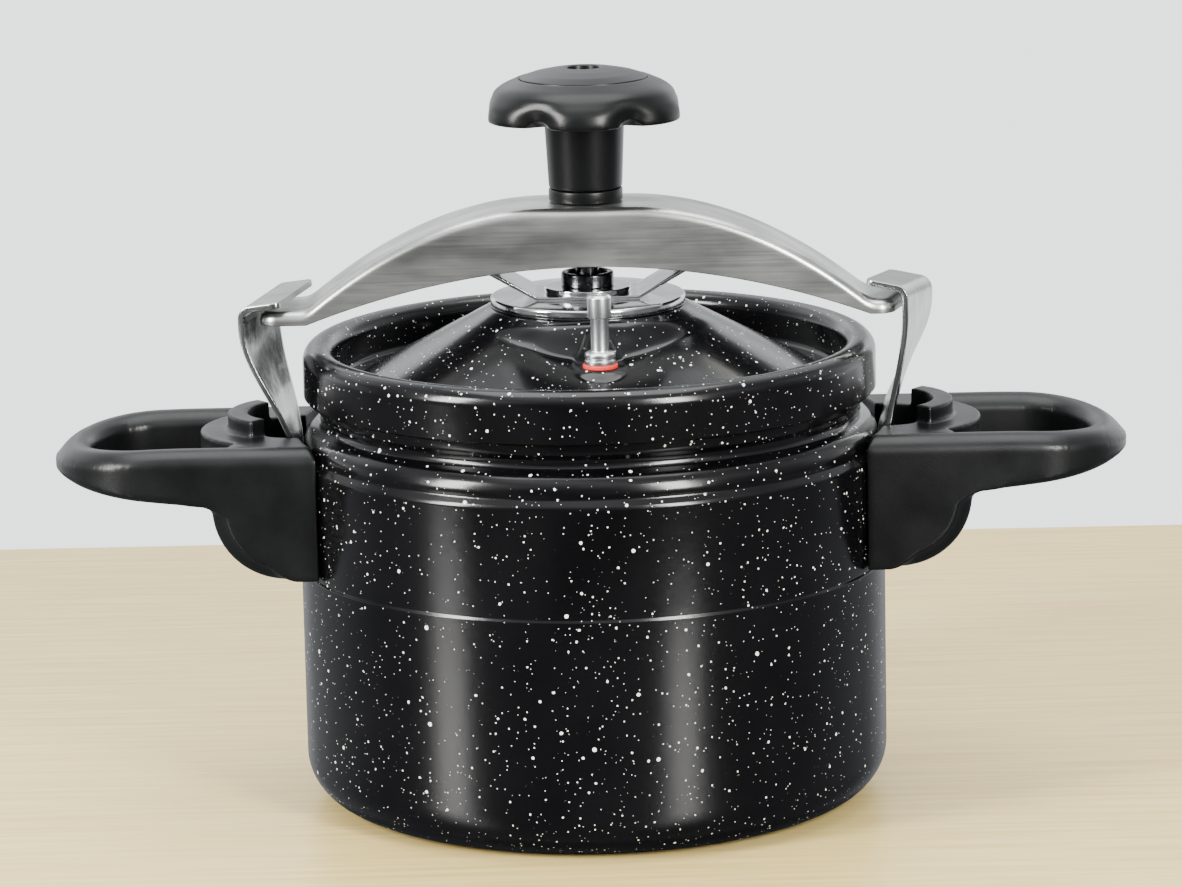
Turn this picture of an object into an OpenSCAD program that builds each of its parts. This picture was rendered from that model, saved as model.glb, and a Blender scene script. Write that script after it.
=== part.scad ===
// Stovetop pressure cooker closed by a clamping bridge.
// The origin is the middle of the pot's underside, +Z is up and the handles lie along X.

/* [Pot] */
// Outer diameter of the pot's wall
body_d = 220; // [190:1:264]
// Height at which the straight wall ends and the shoulder begins
wall_h = 132; // [110:1:160]
// Thickness of the pot's wall
wall_t = 2.4; // [1.6:0.1:3]
// Radius of the corner between wall and base
base_r = 18; // [8:1:26]
// How far the faint step round the wall lies below its top
step_drop = 42; // [36:1:60]
// How far the neck is drawn in from the wall
neck_in = 9.8; // [7:0.1:12]
// How far the mouth is drawn in from the wall
mouth_in = 7.4; // [6:0.1:9]

/* [Lid] */
// Thickness of the lid's sheet
lid_t = 2.2; // [1.4:0.1:2.6]
// Outer radius of the roll round the lid's rim
roll_r = 5.8; // [5.2:0.1:7]
// Height of the skirt that reaches down outside the mouth
skirt_h = 13.6; // [8:0.1:15]
// Slope of the lid's cone, degrees
cone_slope = 28; // [20:1:32]
// Radius of the flat in the middle of the lid
lid_flat_r = 37; // [34:0.5:42]

/* [Pressure stack] */
// Diameter of the pressure disc
disc_d = 72.8; // [60:0.2:74]
// Thickness of the pressure disc
disc_t = 3.9; // [2:0.1:5]
// Thickness of the strip that the V bracket is bent from
strip_t = 1.2; // [0.8:0.1:2]
// Width of the V bracket
strip_w = 29; // [20:0.5:30]
// Slope of the bracket's wings, degrees
wing_slope = 30; // [20:1:34]
// Diameter of the washer over the bracket
washer_d = 32.6; // [26:0.2:33]
// Diameter of the swivel collar
collar_d = 19.7; // [18:0.1:22]

/* [Bridge] */
// Width of the bridge over its flanges
bridge_w = 37; // [35.6:0.2:42]
// Thickness of the bridge's steel
bridge_t = 2; // [1.5:0.1:2.5]
// Depth of the bridge at its middle
bridge_depth = 22; // [18:0.5:26]
// Depth of the bridge at its ends
end_depth = 5; // [4:0.5:8]
// How far the bridge's ends lie below its middle
bridge_rise = 36.8; // [30:0.2:40]
// Gap between the bridge's ends and the hook straps
end_gap = 3.4; // [2:0.1:6]

/* [Screw and knob] */
// Diameter of the clamp screw over its thread
screw_d = 12; // [10:0.5:14]
// Diameter of the screw's neck in the swivel collar
neck_d = 8.7; // [7:0.1:9]
// Radial running clearance of the screw
run_gap = 0.06; // [0.03:0.01:0.1]
// Diameter of the knob's cap
knob_d = 75.8; // [60:0.2:90]
// Height of the knob's cap
knob_h = 19; // [15:0.5:24]
// Length of the knob's stem
stem_h = 26; // [20:0.5:34]
// Number of finger recesses under the knob's edge
lobes = 6; // [4:1:8]

/* [Hooks] */
// Width of the hook straps
strap_w = 38; // [30:0.5:40]
// Thickness of the hook straps
strap_t = 2.2; // [1.6:0.1:3]
// How far the straps lean out above the shoulder
strap_lean = 11.6; // [9:0.2:14]
// Twist of the straps at their top, degrees
strap_twist = 18; // [8:1:20]
// Length of the lip over the bridge's end
lip_l = 12; // [8:0.5:14]
// Upward slope of the lip towards its edge, degrees
lip_slope = 9; // [5:1:14]
// Sideways tilt of the lip, degrees
lip_tilt = 4; // [2:1:5]

/* [Handles] */
// How far the handles reach out from the pot's wall
handle_l = 91; // [80:1:110]
// Width of the handles
handle_w = 88; // [76:1:100]
// Width of the handles' rails
rail_w = 14; // [12:0.5:18]
// Height of the handle's bracket against the wall
bracket_h = 50; // [44:1:56]
// Height of the collar round the strap's slot
slot_collar_h = 6.5; // [3:0.5:9]

/* [Valves] */
// Distance of the two valves from the lid's axis
valve_r = 52; // [48:0.5:56]
// Height of the vent pipe over its washer
vent_h = 25.5; // [20:0.5:32]
// Diameter of the vent pipe's head
vent_head_d = 8.7; // [7.5:0.1:10]

/* [Hidden] */
$fn = 96;

eps = 0.01;
pot_r = body_d / 2;
step_z = wall_h - step_drop;
step_in = 0.5;
upper_r = pot_r - step_in;                   // the wall above the step
mouth_r = pot_r - mouth_in;                  // outside of the mouth's wall
lip_z = wall_h + 29.2;                       // top of the pot's mouth
channel_r = mouth_r - wall_t / 2;            // middle of the mouth's wall and of the lid's roll
rim_in = channel_r - roll_r;                 // inner wall of the lid's rim
rim_out = channel_r + roll_r;
rim_top = lip_z + 12.2;
skirt_z = rim_top - roll_r - skirt_h;
trough_z = lip_z - 3.9;                      // floor of the trough between cone and rim
trough_r = rim_in - 4.8;
lid_top = trough_z + tan(cone_slope) * (trough_r - lid_flat_r);
disc_top = lid_top + disc_t;
strip_top = disc_top + strip_t;
washer_t = 2.1;
washer_top = strip_top + washer_t;
collar_h = 5.2;
collar_top = washer_top + collar_h;
collar_lip = 1.6;                            // thickness of the collar's inward lip
collar_cup = 2;                              // depth of the cup over the lip
boss_top = collar_top - collar_cup - collar_lip - 0.2;
boss_bore_d = neck_d + 2.3;
boss_d = boss_bore_d + 4;
foot_h = 5;                                  // height of the screw's foot in the boss
foot_top = boss_top - 0.1;

bridge_bottom = collar_top + 4.6;            // flanges' lower edge at the middle
bridge_top = bridge_bottom + bridge_depth;
strap_x = pot_r + 0.4 + strap_t / 2;         // middle of the strap's foot
hook_x = strap_x + strap_lean;               // middle of the strap under its lip
bridge_l = hook_x - strap_t / 2 - end_gap;   // half length of the bridge
flat_x = 15;                                 // half length of the bridge's flat middle
tongue_l = 14;                               // flat tongue at each end of the bridge
tongue_x = bridge_l - tongue_l;
arch_k = bridge_rise / pow(tongue_x - flat_x, 2);
end_top = bridge_top - bridge_rise;
end_round = 7;                               // corner radius of the bridge's ends

stem_z = bridge_top + 5.3;                   // underside of the knob's stem
cap_z = stem_z + stem_h;                     // underside of the knob's cap
knob_top = cap_z + knob_h;
stem_foot_r = 13.7;
stem_top_r = 15;

foot_z = wall_h - 28;                        // lower end of the straps' feet
lean_z = wall_h - 2;                         // height at which the straps start to lean out
bend_r = 4;
lip_rise = end_top + 0.6;                    // underside of the lip over the bend's middle
bend_z = lip_rise + strap_t / 2 - bend_r + 1.3;
rivet_d = 5;
rivet_head_d = 9;
rivet_head_h = 1.4;
rivet_angle = 5;
rivet_rows = [foot_z + 6, foot_z + 21];
nut_z = foot_z + 13.5;                       // height of the handle's screw
nut_d = 11;
nut_l = 7;
handle_top = wall_h + 9.5;
handle_foot_r = 27;                          // round lower corner of the handle's bracket
screw_hole_d = 6;
counterbore_d = 12;

// Points of an arc about c, from angle a to angle b.
function arc(c, r, a, b, n = 8) = [for (i = [0:n]) let (t = a + (b - a) * i / n) c + r * [cos(t), sin(t)]];

function unit(v) = v / norm(v);

// The corner p between a and b, rounded to radius r.
function corner(a, p, b, r, n = 8) =
    let (u = unit(a - p), v = unit(b - p), half = acos(max(-1, min(1, u * v))) / 2)
    r <= 0 || half > 89.5 ? [p] :
    let (c = p + unit(u + v) * r / sin(half),
         s = p + u * r / tan(half),
         e = p + v * r / tan(half),
         a0 = atan2(s[1] - c[1], s[0] - c[0]),
         raw = atan2(e[1] - c[1], e[0] - c[0]) - a0,
         turn = raw > 180 ? raw - 360 : raw < -180 ? raw + 360 : raw)
    arc(c, r, a0, a0 + turn, n);

// An open line through corners [x, z, radius], each corner rounded.
function rounded(pts) = [for (i = [0:len(pts) - 1])
    each (i == 0 || i == len(pts) - 1) ? [[pts[i][0], pts[i][1]]] :
        corner([pts[i - 1][0], pts[i - 1][1]], [pts[i][0], pts[i][1]],
               [pts[i + 1][0], pts[i + 1][1]], pts[i][2])];

// The line moved t to its left side (+) or right side (-).
function beside(line, t) = [for (i = [0:len(line) - 1])
    let (p = line[max(0, i - 1)], q = line[min(len(line) - 1, i + 1)], d = unit(q - p))
    line[i] + t * [-d[1], d[0]]];

function reversed(line) = [for (i = [len(line) - 1:-1:0]) line[i]];

// A sheet of thickness t on the left (+) or right (-) of a line.
function sheet(line, t) = concat(line, reversed(beside(line, t)));

function smooth(u) = let (v = max(0, min(1, u))) v * v * (3 - 2 * v);

function cone_z(r) = lid_top - tan(cone_slope) * (r - lid_flat_r);

// Height of the bridge's top and of its flanges' lower edge at a distance x from the middle.
function web_z(x) = bridge_top - arch_k * pow(max(0, min(tongue_x, abs(x)) - flat_x), 2);
function flange_z(x) = let (u = min(1, abs(x) / tongue_x))
    bridge_top - bridge_depth - (bridge_rise - bridge_depth + end_depth) * u * u;

/* ---- pot ---- */

pot_line = rounded([
    [0, 0, 0],
    [pot_r, 0, base_r],
    [pot_r, step_z, 0.4],
    [upper_r, step_z + 1, 0.4],
    [upper_r, wall_h - 0.2, 3],
    [upper_r - 1.8, wall_h + 2.6, 2.5],
    [upper_r - 1.5, wall_h + 5.6, 4],
    [pot_r - neck_in - 0.6, wall_h + 13.2, 4.5],
    [mouth_r, wall_h + 18.2, 3],
    [mouth_r, lip_z, 0]
]);

module pot_shell() {
    color("#17181a")
    difference() {
        rotate_extrude() polygon(sheet(pot_line, wall_t));
        hook_rivet_places() translate([pot_r - 8, 0, 0]) along_x(rivet_d + 0.2, 16);
    }
}

// A cylinder along +X.
module along_x(d, l) { rotate([0, 90, 0]) cylinder(d = d, h = l); }

// Both sides of the cooker: the right side, and the right side turned half way round.
module both_sides() {
    children();
    rotate([0, 0, 180]) children();
}

module hook_rivet_places() {
    both_sides()
        for (z = rivet_rows, a = [-rivet_angle, rivet_angle])
            rotate([0, 0, a]) translate([0, 0, z]) children();
}

module hook_rivets() {
    head_x = strap_x + strap_t / 2 + 0.2;
    tail_x = upper_r - wall_t - 0.2;
    color("#b9bbbd")
    hook_rivet_places() {
        translate([tail_x - eps, 0, 0]) along_x(rivet_d, head_x - tail_x + 2 * eps);
        translate([tail_x - rivet_head_h, 0, 0]) along_x(rivet_head_d, rivet_head_h);
        translate([head_x, 0, 0]) along_x(rivet_head_d, rivet_head_h);
    }
}

/* ---- hooks ---- */

// Middle line of the strap: [reach from the axis, height, direction of travel from +X].
function strap_stations() = concat(
    [for (i = [0:2]) [strap_x, foot_z + (lean_z - foot_z) * i / 2, 90]],
    [for (i = [1:12]) let (u = i / 12, z = lean_z + (bend_z - lean_z) * u)
        [strap_x + strap_lean * smooth(u * 1.08), z, 90]],
    [for (i = [1:7]) let (a = (90 - lip_slope) * i / 7)
        [hook_x - bend_r + bend_r * cos(a), bend_z + bend_r * sin(a), 90 + a]],
    [for (i = [1:3]) let (s = lip_l * i / 3)
        [hook_x - bend_r + bend_r * cos(90 - lip_slope) - s * cos(lip_slope),
         bend_z + bend_r * sin(90 - lip_slope) + s * sin(lip_slope), 180 - lip_slope]]);

// A point of the strap: station s, side (-1 outer face, +1 inner face), offset w across it.
function strap_point(s, side, w) =
    let (up = smooth((s[1] - lean_z) / (bend_z - lean_z)),
         twist = strap_twist * up,
         bow = (1 - up) * (strap_x - sqrt(strap_x * strap_x - w * w)),
         tilt = lip_tilt * smooth((s[1] - lean_z - 20) / (bend_z - lean_z - 20)),
         reach = s[0] - bow - side * strap_t / 2 * sin(s[2]),
         z = s[1] + side * strap_t / 2 * cos(s[2]) - w * sin(tilt),
         y = w * cos(tilt),
         out = reach - hook_x)
    [hook_x + out * cos(twist) + y * sin(twist), y * cos(twist) - out * sin(twist), z];

module strap() {
    stations = strap_stations();
    n = len(stations);
    m = 8;
    ring = [for (s = stations) each concat(
        [for (j = [0:m]) strap_point(s, -1, strap_w * (j / m - 0.5))],
        [for (j = [m:-1:0]) strap_point(s, 1, strap_w * (j / m - 0.5))])];
    k = 2 * (m + 1);
    sides = [for (i = [0:n - 2], j = [0:k - 1])
        [i * k + j, i * k + (j + 1) % k, (i + 1) * k + (j + 1) % k, (i + 1) * k + j]];
    low_end = [for (j = [k - 1:-1:0]) j];
    high_end = [for (j = [0:k - 1]) (n - 1) * k + j];
    polyhedron(ring, concat(sides, [low_end, high_end]), convexity = 6);
}

module hook_right() {
    color("#c3c5c7")
    difference() {
        strap();
        for (z = rivet_rows, a = [-rivet_angle, rivet_angle])
            rotate([0, 0, a]) translate([pot_r - 4, 0, z]) along_x(rivet_d + 0.2, 12);
    }
}

module hook_left() { rotate([0, 0, 180]) hook_right(); }

module strap_nuts() {
    color("#a9abad")
    both_sides() translate([strap_x + strap_t / 2, 0, nut_z])
        difference() {
            along_x(nut_d, nut_l);
            translate([1, 0, 0]) along_x(screw_hole_d, nut_l);
        }
}

/* ---- handles ---- */

handle_x = pot_r + handle_l;                 // tip of the handle
bend_x = handle_x - 36;                      // where the handle's round end begins
bracket_x = pot_r + 3.5;                     // axis of the bracket's round lower corner
bracket_out = bracket_x + handle_foot_r;
screw_seat_x = bracket_out - 14;
slot_x = pot_r - 2;                          // axis of the strap's slot and its collar
slot_r = strap_w / 2 + 1.5;
slot_collar_r = slot_r + 7.5;
slot_collar_angle = 50;

module half_round_end(x, rx, ry) {
    intersection() {
        translate([x, 0]) scale([rx / ry, 1]) circle(ry);
        translate([x - eps, -ry - 1]) square([rx + 1, 2 * ry + 2]);
    }
}

module handle_plan() {
    difference() {
        union() {
            translate([pot_r - 20, -handle_w / 2]) square([bend_x - pot_r + 20, handle_w]);
            half_round_end(bend_x, handle_x - bend_x, handle_w / 2);
        }
        difference() {
            union() {
                translate([pot_r + 10, -handle_w / 2 + rail_w])
                    square([bend_x - pot_r - 10, handle_w - 2 * rail_w]);
                half_round_end(bend_x, handle_x - bend_x - rail_w, handle_w / 2 - rail_w);
            }
            translate([pot_r, 0]) circle(36.5);
        }
    }
}

// Side view of the handle: the arm thins towards its tip, over the bracket's round corner.
handle_side = concat(
    [[pot_r - 20, handle_top - bracket_h]],
    arc([bracket_x, handle_top - bracket_h + handle_foot_r], handle_foot_r, -90, 0, 12),
    [[bracket_out, handle_top - 24], [bracket_out + 3, handle_top - 21.3],
     [handle_x - 55, handle_top - 20.8],
     [handle_x - 25, handle_top - 17],
     [handle_x, handle_top - 13.5],
     [handle_x, handle_top - 5],
     [handle_x - 10, handle_top - 1],
     [handle_x - 40, handle_top],
     [pot_r - 20, handle_top]]);

// A C round the strap's slot, open towards the pot.
module slot_collar() {
    reach = 40;
    half = reach * tan(slot_collar_angle);
    translate([slot_x, 0, handle_top - 1])
        intersection() {
            cylinder(r = slot_collar_r, h = slot_collar_h + 1);
            linear_extrude(slot_collar_h + 1)
                polygon([[0, 0], [reach, -half], [reach, half]]);
        }
}

module handle_right() {
    color("#1d1e20")
    difference() {
        union() {
            intersection() {
                linear_extrude(handle_top + 1) handle_plan();
                translate([0, handle_w / 2, 0]) rotate([90, 0, 0])
                    linear_extrude(handle_w) polygon(handle_side);
            }
            slot_collar();
        }
        translate([0, 0, -1]) cylinder(r = pot_r + 0.2, h = 3 * wall_h);
        translate([slot_x, 0, wall_h - 6]) cylinder(r = slot_r, h = 60);
        translate([0, -60, handle_top]) cube([pot_r + 10, 120, 30]);
        strap_slot();
        translate([pot_r, 0, nut_z]) along_x(nut_d + 0.6, strap_t + nut_l + 1.2);
        translate([pot_r, 0, nut_z]) along_x(screw_hole_d + 0.4, 60);
        translate([screw_seat_x, 0, nut_z]) along_x(counterbore_d, 60);
    }
}

// Room for the strap's foot and its rivet heads behind the bracket.
module strap_slot() {
    intersection() {
        difference() {
            translate([0, 0, foot_z - 1]) cylinder(r = strap_x + strap_t / 2 + 2, h = 60);
            cylinder(r = pot_r - 10, h = 2 * wall_h);
        }
        translate([pot_r - 20, -strap_w / 2 - 1, 0]) cube([40, strap_w + 2, 2 * wall_h]);
    }
}

module handle_left() { rotate([0, 0, 180]) handle_right(); }

module handle_washers() {
    color("#a9abad")
    both_sides() translate([screw_seat_x, 0, nut_z])
        difference() {
            along_x(counterbore_d - 1, 1.2);
            translate([-1, 0, 0]) along_x(screw_hole_d + 0.4, 4);
        }
}

module handle_screws() {
    tip_x = strap_x + strap_t / 2 + 2;
    color("#b4b6b8")
    both_sides() translate([tip_x, 0, nut_z])
        difference() {
            union() {
                along_x(screw_hole_d - 0.1, screw_seat_x + 1.2 - tip_x + eps);
                translate([screw_seat_x + 1.2 - tip_x, 0, 0]) along_x(counterbore_d - 2, 4);
            }
            translate([screw_seat_x + 1.2 - tip_x + 2.6, -0.6, -6]) cube([3, 1.2, 12]);
        }
}

/* ---- lid ---- */

lid_line = rounded([
    [0, lid_top, 0],
    [lid_flat_r, lid_top, 3],
    [trough_r, trough_z, 3.5],
    [rim_in, trough_z, 2.5],
    [rim_in, rim_top, roll_r - 0.05],
    [rim_out, rim_top, roll_r - 0.05],
    [rim_out, skirt_z, 0]
]);

pocket_z = cone_z(valve_r) - 6.3;            // flat floor pressed round each valve
pocket_r = 10;
vent_hole_d = 8.4;
vent_x = 4;                                  // the vent pipe stands a little off the middle

module vent_place() { translate([vent_x, -valve_r, pocket_z]) children(); }
module safety_place() { translate([-vent_x, valve_r, pocket_z]) children(); }

module lid_shell() {
    color("#17181a")
    difference() {
        union() {
            difference() {
                rotate_extrude() polygon(sheet(lid_line, -lid_t));
                vent_place() cylinder(r = pocket_r, h = 40);
                safety_place() cylinder(r = pocket_r, h = 40);
            }
            intersection() {
                union() {
                    vent_place() translate([0, 0, -lid_t]) cylinder(r = pocket_r + lid_t, h = 40);
                    safety_place() translate([0, 0, -lid_t]) cylinder(r = pocket_r + lid_t, h = 40);
                }
                difference() {
                    rotate_extrude() polygon(concat([[0, 0]], lid_under_line, [[trough_r + 4, 0]]));
                    vent_place() cylinder(r = pocket_r, h = 40);
                    safety_place() cylinder(r = pocket_r, h = 40);
                }
            }
        }
        translate([0, 0, lid_top - 20]) cylinder(d = boss_d + 0.4, h = 40);
        vent_place() translate([0, 0, -lid_t - 1]) cylinder(d = vent_hole_d, h = lid_t + 2);
        safety_place() translate([0, 0, -lid_t - 1]) cylinder(d = vent_hole_d, h = lid_t + 2);
    }
}

// The lid's top line as far as the trough, which closes the pockets' walls.
lid_under_line = [[0, lid_top - eps], [lid_flat_r, lid_top - eps], [trough_r + 1, trough_z],
    [trough_r + 4, trough_z]];

module sealing_gasket() {
    room = roll_r - lid_t;
    top = rim_top - roll_r + room - 0.8;
    low = lip_z + 0.3;
    color("#d9d7cf")
    rotate_extrude()
        polygon([[channel_r - room + 0.2, low], [channel_r + room - 0.2, low],
            [channel_r + room - 0.2, rim_top - roll_r], [channel_r + 1, top],
            [channel_r - 1, top], [channel_r - room + 0.2, rim_top - roll_r]]);
}

module ring(d, hole, h) {
    difference() {
        cylinder(d = d, h = h);
        translate([0, 0, -1]) cylinder(d = hole, h = h + 2);
    }
}

module pressure_disc() {
    edge = 0.9;
    color("#d3d5d6")
    difference() {
        rotate_extrude() polygon(concat([[0, lid_top]],
            corner([0, lid_top], [disc_d / 2, lid_top], [disc_d / 2, disc_top], edge),
            corner([disc_d / 2, lid_top], [disc_d / 2, disc_top], [0, disc_top], edge),
            [[0, disc_top]]));
        translate([0, 0, lid_top - 1]) cylinder(d = boss_d + 0.4, h = disc_t + 2);
    }
}

// V bracket: a flat middle on the disc and two wings that rise into the bridge.
module bridge_bracket() {
    fold_x = 19;
    wing_x = 33;                             // how far each wing reaches past the fold
    rise = wing_x * tan(wing_slope);
    line = rounded([
        [-fold_x - wing_x, disc_top + rise, 0], [-fold_x, disc_top, 4],
        [fold_x, disc_top, 4], [fold_x + wing_x, disc_top + rise, 0]]);
    color("#cfd1d2")
    difference() {
        translate([0, strip_w / 2, 0]) rotate([90, 0, 0])
            linear_extrude(strip_w) polygon(sheet(line, strip_t));
        translate([0, 0, disc_top - 1]) cylinder(d = boss_d + 0.4, h = 8);
    }
}

module boss_washer() {
    color("#b4b6b8") translate([0, 0, strip_top]) ring(washer_d, boss_d + 0.4, washer_t);
}

module lid_boss() {
    flange_t = 3;
    base = lid_top - lid_t - flange_t;
    color("#8f9193")
    difference() {
        union() {
            translate([0, 0, base]) cylinder(d = 26, h = flange_t);
            translate([0, 0, base - 10]) cylinder(d = boss_d, h = boss_top - base + 10);
        }
        translate([0, 0, foot_top - foot_h - 1.2]) cylinder(d = boss_bore_d, h = 30);
    }
}

module hex_nut(across, hole, h) {
    difference() {
        intersection() {
            cylinder(d = across / cos(30), h = h, $fn = 6);
            cylinder(d = across * 1.12, h = h);
        }
        translate([0, 0, -1]) cylinder(d = hole, h = h + 2);
    }
}

module boss_locknut() {
    color("#9a9c9e")
    translate([0, 0, lid_top - lid_t - 3 - 7.5]) hex_nut(22, boss_d + 0.1, 7);
}

module swivel_collar() {
    color("#232426")
    translate([0, 0, washer_top])
        difference() {
            cylinder(d = collar_d, h = collar_h);
            translate([0, 0, -1]) cylinder(d = boss_d + 0.1, h = collar_h - collar_cup - collar_lip + 1);
            translate([0, 0, -1]) cylinder(d = neck_d + 0.4, h = collar_h + 2);
            translate([0, 0, collar_h - collar_cup]) cylinder(d = boss_d, h = collar_cup + 1);
        }
}

/* ---- vent pipe and safety valve ---- */

seal_t = 1.5;
seal_d = 12.8;

module vent_pipe() {
    flange_h = 4.5;
    head_h = 8.5;
    shank = 12;
    color("#d0d2d4")
    vent_place() translate([0, 0, seal_t])
        difference() {
            rotate_extrude() polygon([
                [0, -shank - seal_t], [4, -shank - seal_t], [4, 0], [5.7, 0], [5.7, 1.4], [5.2, 1.8],
                [5.2, 2.3], [5.7, 2.7], [5.7, flange_h - 0.6], [5.1, flange_h], [3.3, flange_h],
                [3.3, vent_h - head_h], [vent_head_d / 2, vent_h - head_h],
                [vent_head_d / 2, vent_h - 0.8], [vent_head_d / 2 - 0.8, vent_h], [0, vent_h]]);
            translate([0, 0, -shank - 5]) cylinder(d = 2.5, h = vent_h + shank + 10);
        }
}

module vent_washer() {
    color("#c8342c") vent_place() ring(seal_d, vent_hole_d, seal_t);
}

module valve_nut() { translate([0, 0, -lid_t - 4.2]) hex_nut(13, 8.1, 4); }

module vent_nut() { color("#9a9c9e") vent_place() valve_nut(); }

safety_h = 9;                                // height of the safety valve over its washer
plunger_d = 3;
spring_low = -5;                             // floor of the spring's chamber
spring_high = safety_h - 1.5;

module safety_body() {
    color("#cfc39a")
    safety_place() translate([0, 0, seal_t])
        difference() {
            union() {
                translate([0, 0, -12 - seal_t]) cylinder(d = 8, h = 12 + seal_t + eps);
                cylinder(d = 12, h = 3);
                cylinder(d = 9.6, h = safety_h);
            }
            translate([0, 0, spring_low]) cylinder(d = 6.4, h = spring_high - spring_low);
            translate([0, 0, -20]) cylinder(d = plunger_d + 0.2, h = 40);
        }
}

module safety_washer() {
    color("#c8342c") safety_place() ring(seal_d, vent_hole_d, seal_t);
}

module safety_nut() { color("#9a9c9e") safety_place() valve_nut(); }

module safety_plunger() {
    seat_h = 1.4;
    color("#b4b6b8")
    safety_place() translate([0, 0, seal_t]) {
        translate([0, 0, -12.5 - seal_t]) cylinder(d = plunger_d, h = 12.5 + seal_t + safety_h + 0.8);
        translate([0, 0, spring_low + 0.1]) cylinder(d = 5.8, h = seat_h);
    }
}

// The spring is the closed tube that its coil fills.
module safety_spring() {
    low = spring_low + 1.7;
    color("#c3c5c7")
    safety_place() translate([0, 0, seal_t + low]) ring(5.6, 3.8, spring_high - low - 0.1);
}

/* ---- clamp screw and knob ---- */

thread_low = collar_top + 7;
screw_top = cap_z + 6;

module clamp_screw() {
    color("#3a3b3d") {
        translate([0, 0, foot_top - foot_h]) cylinder(d = boss_bore_d - 0.4, h = foot_h);
        translate([0, 0, foot_top - eps]) cylinder(d = neck_d, h = thread_low - foot_top + 2 * eps);
        translate([0, 0, thread_low]) cylinder(d1 = neck_d, d2 = screw_d, h = 1.5);
        translate([0, 0, thread_low + 1.5 - eps]) cylinder(d = screw_d, h = screw_top - thread_low - 1.5);
    }
}

insert_d = screw_d + 6;
cap_insert_d = 48;
insert_low = stem_z + 8;

knob_line = rounded([
    [knob_d / 2 - 4, cap_z, 0], [knob_d / 2, cap_z, 1], [knob_d / 2, cap_z + 5, 9],
    [knob_d / 2 - 6, cap_z + 12, 14], [cap_insert_d / 2, cap_z + knob_h - 3.6, 0]]);

module knob_body() {
    recess_r = 9;
    color("#1b1c1e")
    difference() {
        rotate_extrude() polygon(concat(
            [[0, stem_z], [stem_foot_r, stem_z], [stem_top_r, cap_z + 1.5],
             [stem_top_r + 3, cap_z + 3], [knob_d / 2 - 9, cap_z + 3]],
            knob_line, [[cap_insert_d / 2, knob_top - 5], [0, knob_top - 5]]));
        for (i = [0:lobes - 1])
            rotate([0, 0, i * 360 / lobes])
                translate([knob_d / 2 + 3.2, 0, cap_z - 5.5]) sphere(r = recess_r, $fn = 48);
        translate([0, 0, stem_z - 1]) cylinder(d = screw_d + 0.2, h = screw_top - stem_z + 1.5);
        translate([0, 0, insert_low]) cylinder(d = insert_d + 0.2, h = 14.2);
    }
}

module knob_insert() {
    color("#a08a52")
    translate([0, 0, insert_low + 0.1]) ring(insert_d, screw_d + 0.1, 14);
}

module knob_cap() {
    r = cap_insert_d / 2 - 0.3;
    color("#222325")
    difference() {
        rotate_extrude() polygon([[0, knob_top - 5], [r, knob_top - 5], [r, knob_top - 3.7],
            [r * 0.8, knob_top - 2.1], [r * 0.55, knob_top - 0.9], [r * 0.25, knob_top], [0, knob_top]]);
        translate([0, 0, knob_top - 2]) cylinder(d = 12, h = 5);
    }
}

module knob_collar() {
    color("#161719")
    translate([0, 0, bridge_top + 0.4]) ring(27.6, screw_d + 0.2, stem_z - bridge_top - 0.6);
}

/* ---- bridge ---- */

function bow_xs() = [for (i = [-24:24]) tongue_x * i / 24];

// Side view of the bridge between two depths below its top line.
module bow_side(inset, bottom) {
    polygon(concat(
        [[-bridge_l, end_top - inset]],
        [for (x = bow_xs()) [x, web_z(x) - inset]],
        [[bridge_l, end_top - inset], [bridge_l, flange_z(bridge_l) - bottom]],
        [for (x = reversed(bow_xs())) [x, flange_z(x) - bottom]],
        [[-bridge_l, flange_z(bridge_l) - bottom]]));
}

// The bridge's plan: its ends are cut parallel to the hook straps and rounded.
module bow_plan(grow) {
    w = bridge_w / 2 + grow;
    slant = w * tan(strap_twist);
    l = bridge_l + grow;
    line = [[l + slant, w], [-l + slant, w], [-l - slant, -w], [l - slant, -w]];
    r = max(end_round + grow, 1);
    n = len(line);
    polygon([for (i = [0:n - 1]) each corner(line[(i + n - 1) % n], line[i], line[(i + 1) % n], r)]);
}

module bow_solid(inset, bottom, side_inset) {
    intersection() {
        linear_extrude(bridge_top + 10) bow_plan(-side_inset);
        translate([0, bridge_w, 0]) rotate([90, 0, 0]) linear_extrude(2 * bridge_w) bow_side(inset, bottom);
    }
}

bush_d = screw_d + 12;
bush_h = 11;
bush_low = bridge_top - bridge_t - bush_h;
spigot_d = screw_d + 6;

module bridge_bow() {
    color("#c0c2c4")
    difference() {
        bow_solid(0, 0, 0);
        bow_solid(bridge_t, 10, bridge_t);
        translate([0, 0, bridge_top - 20]) cylinder(d = spigot_d + 0.1, h = 40);
    }
}

module bridge_bush() {
    color("#8f9193")
    difference() {
        union() {
            translate([0, 0, bush_low]) cylinder(d = bush_d, h = bush_h);
            translate([0, 0, bridge_top - bridge_t - 1]) cylinder(d = spigot_d, h = bridge_t + 1);
        }
        translate([0, 0, bridge_bottom]) cylinder(d = screw_d + 2 * run_gap, h = 60);
    }
}

module bush_nut() {
    color("#9a9c9e")
    translate([0, 0, bush_low]) ring(bush_d + 4, bush_d + 0.1, 4);
}

pot_shell();
hook_left();
hook_right();
hook_rivets();
strap_nuts();
handle_left();
handle_right();
handle_washers();
handle_screws();
lid_shell();
sealing_gasket();
pressure_disc();
bridge_bracket();
boss_washer();
lid_boss();
boss_locknut();
swivel_collar();
vent_pipe();
vent_washer();
vent_nut();
safety_body();
safety_washer();
safety_nut();
safety_plunger();
safety_spring();
clamp_screw();
knob_body();
knob_cap();
knob_collar();
knob_insert();
bridge_bow();
bridge_bush();
bush_nut();
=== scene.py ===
import math

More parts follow.
